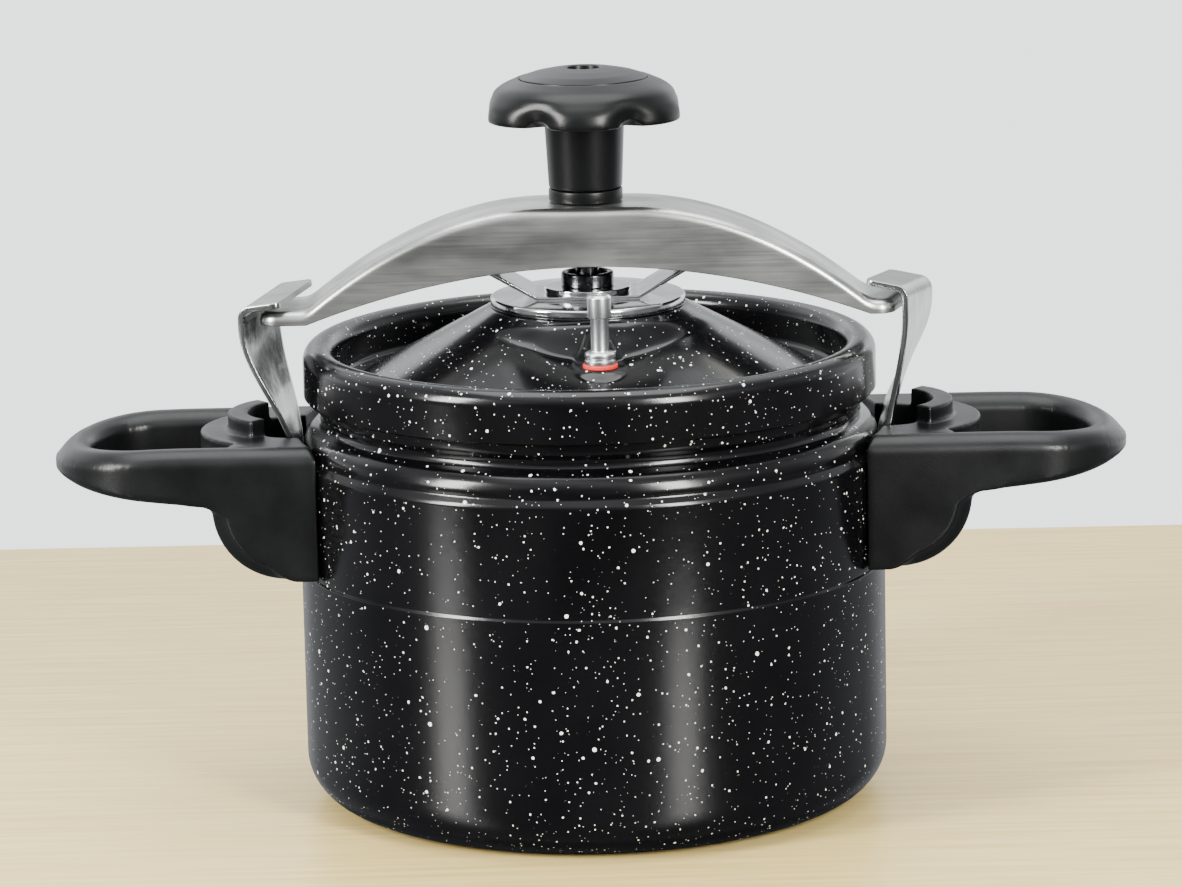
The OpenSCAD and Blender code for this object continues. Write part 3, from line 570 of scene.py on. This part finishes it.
cone_line = rounded([(BOSS_HOLE_R, LID_TOP, 0), (LID_FLAT_R, LID_TOP, 3), (TROUGH_R, TROUGH_Z, 3.5),
                     (RIM_IN, TROUGH_Z, 2.5), (RIM_IN, RIM_TOP, 5.7), (RIM_OUT, RIM_TOP, 5.7),
                     (RIM_OUT, SKIRT_Z + 0.7, 0), (RIM_OUT - 0.6, SKIRT_Z, 0)], 15)


def finely(line, step):
    """The line with points added so that none of its stretches is longer than step."""
    gaps = np.linalg.norm(np.diff(line, axis=0), axis=1)
    along = np.append(0, np.cumsum(gaps))
    extra = np.concatenate([np.linspace(a, b, int(np.ceil((b - a) / step)) + 1)[:-1]
                            for a, b in zip(along, along[1:]) if b > a] + [along[-1:]])
    return np.stack([np.interp(extra, along, line[:, k]) for k in (0, 1)], 1)


def hollowed(x, y, z):
    """Height of the lid's sheet with a scoop pressed in round each valve: the lower of
    the cone and of a gently sloping floor that rises as the square of the distance
    sideways and steeply towards the seat, with a soft change from one to the other. Close
    to the valve the floor is flat for the washer."""
    r = np.hypot(x, y)
    for sign in (1, -1):
        aside = x - sign * VALVE_X
        floor = POCKET_Z - FLOOR_SLOPE * (r - VALVE_R) + FLOOR_CURVE * aside ** 2
        floor = floor + FLOOR_CLIMB * eased((FLOOR_START - r) / FLOOR_RUN)
        share = np.clip(0.5 + (z - floor) / FLOOR_SOFT, 0, 1)
        extra = FLOOR_SOFT / 2 * share * (1 - share) * eased((r - LID_FLAT_R) / 8)
        scooped = z * (1 - share) + floor * share - extra
        z = z + (scooped - z) * eased(-sign * y / 20)
        seat = 1 - eased((np.hypot(aside, y + sign * VALVE_R) - 6.6) / 5)
        z = z * (1 - seat) + POCKET_Z * seat
    return z


top_line = finely(cone_line, 0.9)
lid_line = np.concatenate([top_line, beside(top_line, -LID_T)[::-1]])
sides = 360
a = np.arange(sides) * 2 * PI / sides
x, y = lid_line[:, :1] * np.cos(a), lid_line[:, :1] * np.sin(a)
z = lid_line[:, 1:] + 0 * a
under = np.zeros(len(lid_line))
under[len(top_line):] = LID_T / math.cos(math.radians(28))
on_cone = (lid_line[:, 0] < TROUGH_R + 2)[:, None]
under = np.where(on_cone, under[:, None], 0)
z = np.where(on_cone, hollowed(x, y, z + under) - under, z)
skin("lid_shell_enamel", np.stack([x, y, z], -1), "lid",
     speckled_enamel, ["lid_shell"], ring=True)

# Pale silicone: matte, slightly see-through cream.
pale_silicone, tree, shader = finish("pale_silicone", Roughness=0.55, IOR=1.41, Subsurface_Weight=0.15)
cream = node(tree, "ShaderNodeTexNoise", Vector=object_place(tree), Scale=0.2, Detail=2.0)
tinted(tree, shader, cream.outputs["Fac"], (0.3, "D6D2C6"), (0.7, "E0DDD2"))
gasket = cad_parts["sealing_gasket"]
gasket.data.materials.clear()
gasket.data.materials.append(pale_silicone)


# ---- Pressure stack ----
# A thick polished disc on the lid's flat, the V bracket whose wings keep the bridge in
# line, a washer over it, and the black swivel collar that holds the screw's foot.

# Mirror-polished stainless: clear reflections, with very faint lathe rings 0.5 mm apart.
mirror_stainless, tree, shader = finish("mirror_stainless", Metallic=1.0, Roughness=0.1)
place = object_place(tree)
rings = node(tree, "ShaderNodeTexWave", {"wave_type": "RINGS", "rings_direction": "Z"},
             Vector=place, Scale=0.6)
smear = node(tree, "ShaderNodeTexNoise", Vector=place, Scale=0.08, Detail=3.0)
tinted(tree, shader, smear.outputs["Fac"], (0.3, "C9CBCC"), (0.7, "DCDDDD"))
roughened(tree, shader, smear.outputs["Fac"], 0.06, 0.16)
lathe = node(tree, "ShaderNodeBump", Height=rings.outputs["Fac"], Strength=0.02, Distance=0.0001)
tree.links.new(lathe.outputs[0], shader.inputs["Normal"])


def ring_line(inner, outer, low, high, ease):
    """Closed outline of a flat ring, its four corners eased."""
    e = ease
    return rounded([(inner + e, low, 0), (outer, low, e), (outer, high, e), (inner, high, e), (inner, low, e),
                    (inner + e, low, 0)], 5)[:-1]


DISC_TOP, DISC_R = LID_TOP + 3.9, 36.4
disc_line = rounded([
    (BOSS_HOLE_R + 1, LID_TOP, 0), (DISC_R, LID_TOP, 1.0), (DISC_R, DISC_TOP, 1.0),
    (BOSS_HOLE_R, DISC_TOP, 0.3), (BOSS_HOLE_R, LID_TOP, 0.3), (BOSS_HOLE_R + 1, LID_TOP, 0)], 7)[:-1]
turned("pressure_disc_steel", disc_line, "lid", mirror_stainless, ["pressure_disc"])

STRIP_T, STRIP_W, FOLD_X, WING_X, WING_SLOPE = 1.2, 29, 19, 33, 30
STRIP_TOP = DISC_TOP + STRIP_T
wing_rise = WING_X * math.tan(math.radians(WING_SLOPE))
strip_line = finely(rounded([
    (-FOLD_X - WING_X, DISC_TOP + wing_rise, 0), (-FOLD_X, DISC_TOP, 4),
    (FOLD_X, DISC_TOP, 4), (FOLD_X + WING_X, DISC_TOP + wing_rise, 0)], 9), 2.0)


def bent_strip(line, width, thick, edge):
    """A strip's section carried along a bent line seen from the side; the line runs
    along the strip's underside, and each end is closed flat."""
    middle = beside(line, thick / 2)
    normal = (beside(line, 1) - line)
    section = strip_section(width, thick, edge)
    ends = np.array([0.0] + [1.0] * len(line) + [0.0])
    middle, normal = (np.concatenate([v[:1], v, v[-1:]]) for v in (middle, normal))
    t = section[None, :, 1] * ends[:, None]
    return np.stack([middle[:, :1] + normal[:, :1] * t, section[None, :, 0] + 0 * t,
                     middle[:, 1:] + normal[:, 1:] * t], -1)


skin("bridge_bracket_strip", bent_strip(strip_line, STRIP_W, STRIP_T, 0.3), "lid",
     mirror_stainless, ["bridge_bracket"], sharp=50)

WASHER_R, WASHER_TOP = 16.3, STRIP_TOP + 2.1
turned("boss_washer_steel", ring_line(BOSS_HOLE_R, WASHER_R, STRIP_TOP + 0.02, WASHER_TOP, 0.35),
       "lid", mirror_stainless, ["boss_washer"], sides=160)

# Blackened steel, oiled: nearly black with clear bright glints.
blackened_steel, tree, shader = finish("blackened_steel", Metallic=1.0, Roughness=0.2)
oil = node(tree, "ShaderNodeTexNoise", Vector=object_place(tree), Scale=0.35, Detail=3.0)
tinted(tree, shader, oil.outputs["Fac"], (0.3, "3C3C3E"), (0.7, "58595B"))
roughened(tree, shader, oil.outputs["Fac"], 0.14, 0.3)

COLLAR_R, COLLAR_TOP, NECK_R = 9.85, WASHER_TOP + 5.2, 4.35
collar_line = rounded([
    (7.6, WASHER_TOP + 0.02, 0), (COLLAR_R, WASHER_TOP + 0.02, 0.4), (COLLAR_R, COLLAR_TOP, 0.8),
    (7.5, COLLAR_TOP, 0.6), (7.5, COLLAR_TOP - 2, 0.3), (NECK_R + 0.2, COLLAR_TOP - 2, 0.2),
    (NECK_R + 0.2, COLLAR_TOP - 3.6, 0),
    (7.6, COLLAR_TOP - 3.6, 0), (7.6, WASHER_TOP + 0.02, 0)], 6)[:-1]
turned("swivel_collar_steel", collar_line, "lid", blackened_steel,
       ["swivel_collar"], sides=128)


# ---- Valves ----
# The vent pipe is turned in one piece from aluminium, with a grooved flange on a red
# silicone washer. The safety valve stands behind in the same way.

# Red silicone: matte, even.
red_silicone, tree, shader = finish("red_silicone", Roughness=0.5, IOR=1.41)
blush = node(tree, "ShaderNodeTexNoise", Vector=object_place(tree), Scale=0.5, Detail=2.0)
tinted(tree, shader, blush.outputs["Fac"], (0.3, "B82A22"), (0.7, "CF3B31"))

SEAL_T, SEAL_R = 1.5, 6.4
VENT_H, VENT_HEAD_R, VENT_HEAD_H = 25.5, 4.35, 8.5
for name, sign in (("vent_washer", 1), ("safety_washer", -1)):
    turned(name + "_silicone", ring_line(HOLE_R, SEAL_R, POCKET_Z, POCKET_Z + SEAL_T, 0.35),
           "lid", red_silicone, [name],
           axis=(sign * VALVE_X, -sign * VALVE_R), sides=96)

vent_line = rounded([
    (1.25, -13.5, 0), (4, -13.5, 0.5), (4, 0, 0), (5.7, 0, 0.25), (5.7, 1.5, 0.25), (5.15, 1.9, 0.15),
    (5.15, 2.3, 0.15), (5.7, 2.7, 0.25), (5.7, 3.9, 0.5), (5.0, 4.5, 0.3), (3.3, 4.6, 0.6),
    (3.3, VENT_H - VENT_HEAD_H, 0.2), (VENT_HEAD_R, VENT_H - VENT_HEAD_H + 0.3, 0.3),
    (VENT_HEAD_R, VENT_H - 0.9, 0.5), (VENT_HEAD_R - 0.9, VENT_H, 0.4), (1.25, VENT_H, 0.2),
    (1.25, -13.5, 0)], 5)[:-1]
turned("vent_pipe_turned", vent_line + [0, POCKET_Z + SEAL_T], "lid", turned_aluminium,
       ["vent_pipe"], axis=(VALVE_X, -VALVE_R), sides=96)


# ---- Clamp screw ----
# A blackened steel screw with a trapezoidal thread of 3 mm pitch. Its plain neck turns in
# the swivel collar, and its head is fixed in the knob.

FOOT_R, FOOT_LOW, FOOT_TOP = 5.3, 189.4, 194.4
THREAD_LOW, SCREW_TOP, SCREW_R, PITCH, THREAD_DEPTH = 205.3, 262.2, 6.0, 3.0, 0.9


def thread_grid():
    """Radius of the screw over turn and height. In the thread it follows a clipped
    triangle wave of height less a share of the turn, which climbs as a right-hand
    thread, and it eases in and out at both ends."""
    shank = rounded([
        (0, FOOT_LOW, 0), (FOOT_R, FOOT_LOW, 0.5), (FOOT_R, FOOT_TOP, 0.5),
        (NECK_R - 0.02, FOOT_TOP, 0.3), (NECK_R - 0.02, THREAD_LOW, 0),
        (SCREW_R - THREAD_DEPTH, THREAD_LOW + 0.6, 0)], 4)
    heights = np.linspace(THREAD_LOW + 0.6, SCREW_TOP - 1, 260)
    core = np.stack([np.full(260, SCREW_R - THREAD_DEPTH), heights], 1)[1:]
    line = np.concatenate([shank, core, [[0, SCREW_TOP - 1]]])
    a = np.arange(64) * 2 * PI / 64
    r, z = line[:, :1], line[:, 1:] + 0 * a
    wave = 2 * np.abs(((z / PITCH - a / (2 * PI)) % 1) - 0.5)
    tooth = np.clip(1.9 * wave - 0.45, 0, 1)
    threaded = (line[:, 1] > THREAD_LOW + 0.7) & (line[:, 0] > 1)
    ends = eased((z - THREAD_LOW - 0.6) / 2) * eased((SCREW_TOP - 1 - z) / 2)
    r = r + threaded[:, None] * THREAD_DEPTH * tooth * ends
    return np.stack([r * np.cos(a), r * np.sin(a), z], -1)


skin("clamp_screw_thread", thread_grid(), "screw", blackened_steel,
     ["clamp_screw"], sharp=45)


# ---- Knob ----
# Moulded thermoset: a domed cap with six finger scoops under its edge, a tapered stem, a
# pressed-in cover with a small hole and a separate collar over the bridge.

# Thermoset polished in the mould: deeper black than the handles, with a clearer shine.
knob_thermoset, tree, shader = finish("polished_thermoset", Roughness=0.33, Specular_IOR_Level=0.26)
place = object_place(tree)
cloud = node(tree, "ShaderNodeTexNoise", Vector=place, Scale=0.06, Detail=4.0)
tinted(tree, shader, cloud.outputs["Fac"], (0.3, "050606"), (0.7, "090A0B"))
pits = node(tree, "ShaderNodeTexNoise", Vector=place, Scale=2.2, Detail=2.0)
grained = node(tree, "ShaderNodeBump", Height=pits.outputs["Fac"], Strength=0.12, Distance=0.00015)
tree.links.new(grained.outputs[0], shader.inputs["Normal"])

CAP_LOW, LOBES = 256.2, 6
DENT, DENT_W, DENT_H, DENT_IN = 4.6, 8.5, 11, 18


def lobed(points):
    """Draws the cap's side in between its lobes: at each of the scoops the radius is cut
    by a bell curve of the distance round the rim, eased out upwards and towards the stem."""
    x, y, z = points.T
    r = np.hypot(x, y)
    pitch = 2 * PI / LOBES
    aside = ((np.arctan2(y, x) + pitch / 2) % pitch - pitch / 2) * r
    dent = DENT * np.exp(-(aside / DENT_W) ** 2)
    dent = dent * eased((CAP_LOW + DENT_H - z) / 9) * eased((r - DENT_IN) / 16)
    shrink = 1 - dent / np.maximum(r, 1)
    return np.stack([x * shrink, y * shrink, z], 1)


knob_mesh, knob_points = moulded_mesh("knob_body", 0.6, 5)
hung("knob_body_moulding", with_points(knob_mesh, lobed(knob_points)), "screw",
     knob_thermoset, ["knob_body"], sharp=60)

CAP_R, KNOB_TOP = 23.7, 275.2
cover_line = rounded([
    (0, KNOB_TOP - 5, 0), (CAP_R, KNOB_TOP - 5, 0.2), (CAP_R, KNOB_TOP - 3.7, 0.5),
    (CAP_R * 0.8, KNOB_TOP - 2.1, 12), (CAP_R * 0.55, KNOB_TOP - 0.9, 10), (6.8, KNOB_TOP - 0.15, 0.8),
    (6.1, KNOB_TOP - 0.6, 0.4), (6.0, KNOB_TOP - 2.1, 0.3), (0, KNOB_TOP - 2.2, 0)], 8)
turned("knob_cap_moulding", cover_line, "screw", knob_thermoset, ["knob_cap"],
       closed=False, sides=160)

BRIDGE_TOP, STEM_Z = 224.9, 230.2
turned("knob_collar_moulding", ring_line(6.15, 13.8, BRIDGE_TOP + 0.4, STEM_Z - 0.2, 0.7),
       "screw", knob_thermoset, ["knob_collar"], sides=128)


# ---- Bridge ----
# An arched channel pressed from 2 mm stainless sheet, satin along its length, with its
# edges turned down all round and its ends cut at the hooks' angle. A bush is spun into it.

# Satin stainless: rolled grey with fine lines along the bridge, drawn 0.8 mm apart, and
# soft cloudy patches.
satin_stainless, tree, shader = finish("satin_stainless", Metallic=1.0, Roughness=0.33)
place = object_place(tree)
lines = node(tree, "ShaderNodeTexNoise", Vector=object_place(tree, (0.02, 1, 1)), Scale=1.3, Detail=4.0)
patches = node(tree, "ShaderNodeTexNoise", Vector=object_place(tree, (0.4, 1, 1)), Scale=0.07, Detail=3.0)
tinted(tree, shader, patches.outputs["Fac"], (0.32, "989A98"), (0.68, "D2D2CF"))
roughened(tree, shader, lines.outputs["Fac"], 0.29, 0.35)
brushed = node(tree, "ShaderNodeBump", Height=lines.outputs["Fac"], Strength=0.02, Distance=0.0002)
tree.links.new(brushed.outputs[0], shader.inputs["Normal"])

BRIDGE_W, BRIDGE_T, BRIDGE_DEPTH, END_DEPTH, BRIDGE_RISE = 37, 2, 22, 5, 36.8
BRIDGE_L, TONGUE_X, FLAT_X, END_ROUND, FOLD_R, SPIGOT_R = 118.6, 104.6, 15, 7, 3.6, 9.05
ARCH = BRIDGE_RISE / (TONGUE_X - FLAT_X) ** 2


def plan_line(count):
    """The bridge's outline from above, a slanted rectangle with round corners, as count
    points evenly spaced, and the outward direction at each."""
    w, l = BRIDGE_W / 2, BRIDGE_L
    slant = w * math.tan(math.radians(TWIST))
    c = [(l + slant, w), (-l + slant, w), (-l - slant, -w), (l - slant, -w)]
    start = (l, 0)
    line = rounded([(*start, 0)] + [(*p, END_ROUND) for p in c] + [(*start, 0)], 12)
    along = np.append(0, np.cumsum(np.linalg.norm(np.diff(line, axis=0), axis=1)))
    even = np.linspace(0, along[-1], count, endpoint=False)
    outline = np.stack([np.interp(even, along, line[:, k]) for k in (0, 1)], 1)
    d = np.roll(outline, -1, 0) - np.roll(outline, 1, 0)
    d /= np.linalg.norm(d, axis=1, keepdims=True)
    return outline, np.stack([d[:, 1], -d[:, 0]], 1)


def web_z(x):
    """Height of the bridge's top: flat, then a parabola, then flat tongues, joined softly."""
    fall = BRIDGE_TOP - ARCH * np.maximum(np.abs(x) - FLAT_X, 0) ** 2
    end = BRIDGE_TOP - BRIDGE_RISE
    fall = np.where(np.abs(x) > TONGUE_X + 20, end - 9, fall)
    return np.maximum(fall, end) + np.maximum(2.4 - np.abs(fall - end), 0) ** 2 / 9.6


def flange_z(x):
    """Height of the turned-down edge, a parabola out to the tongues."""
    u = np.minimum(1, np.abs(x) / TONGUE_X)
    return BRIDGE_TOP - BRIDGE_DEPTH - (BRIDGE_RISE - BRIDGE_DEPTH + END_DEPTH) * u * u


def bridge_grid():
    """From the bush's hole, lines run out over the web to the outline, over the bend,
    down the edge, round it, and back up the inside to the hole. Each line keeps its place
    round the outline."""
    outline, outward = plan_line(720)
    turn = np.arctan2(outline[:, 1], outline[:, 0])
    hole = SPIGOT_R * np.stack([np.cos(turn), np.sin(turn)], 1)
    rows = []
    share = np.linspace(0, 1, 44)
    edge = outline - outward * FOLD_R
    for f in share:
        p = hole + (edge - hole) * f
        rows.append(np.column_stack([p, web_z(p[:, 0])]))
    inside = [np.column_stack([row[:, :2], row[:, 2] - BRIDGE_T]) for row in rows[::-1]]
    for b in np.linspace(0, PI / 2, 11)[1:]:
        p = edge + outward * FOLD_R * math.sin(b)
        rows.append(np.column_stack([p, web_z(p[:, 0]) - FOLD_R * (1 - math.cos(b))]))
    top = web_z(outline[:, 0]) - FOLD_R
    foot = flange_z(outline[:, 0])
    for f in np.linspace(0, 1, 9)[1:]:
        rows.append(np.column_stack([outline, top + (foot + 0.3 - top) * f]))
    for g, lift in ((0.3, 0), (BRIDGE_T - 0.3, 0), (BRIDGE_T, 0.3)):
        rows.append(np.column_stack([outline - outward * g, foot + lift]))
    inner = outline - outward * BRIDGE_T
    inner_r = FOLD_R - BRIDGE_T
    for f in np.linspace(0, 1, 9)[1:]:
        rows.append(np.column_stack([inner, foot + 0.3 + (top - foot - 0.3) * f]))
    for b in np.linspace(PI / 2, 0, 7)[1:-1]:
        p = edge + outward * inner_r * math.sin(b)
        rows.append(np.column_stack([p, web_z(p[:, 0]) - FOLD_R + inner_r * math.cos(b)]))
    return np.stack(rows + inside)


skin("bridge_bow_pressing", bridge_grid(), "bridge", satin_stainless,
     ["bridge_bow"], ring=True, sharp=45)
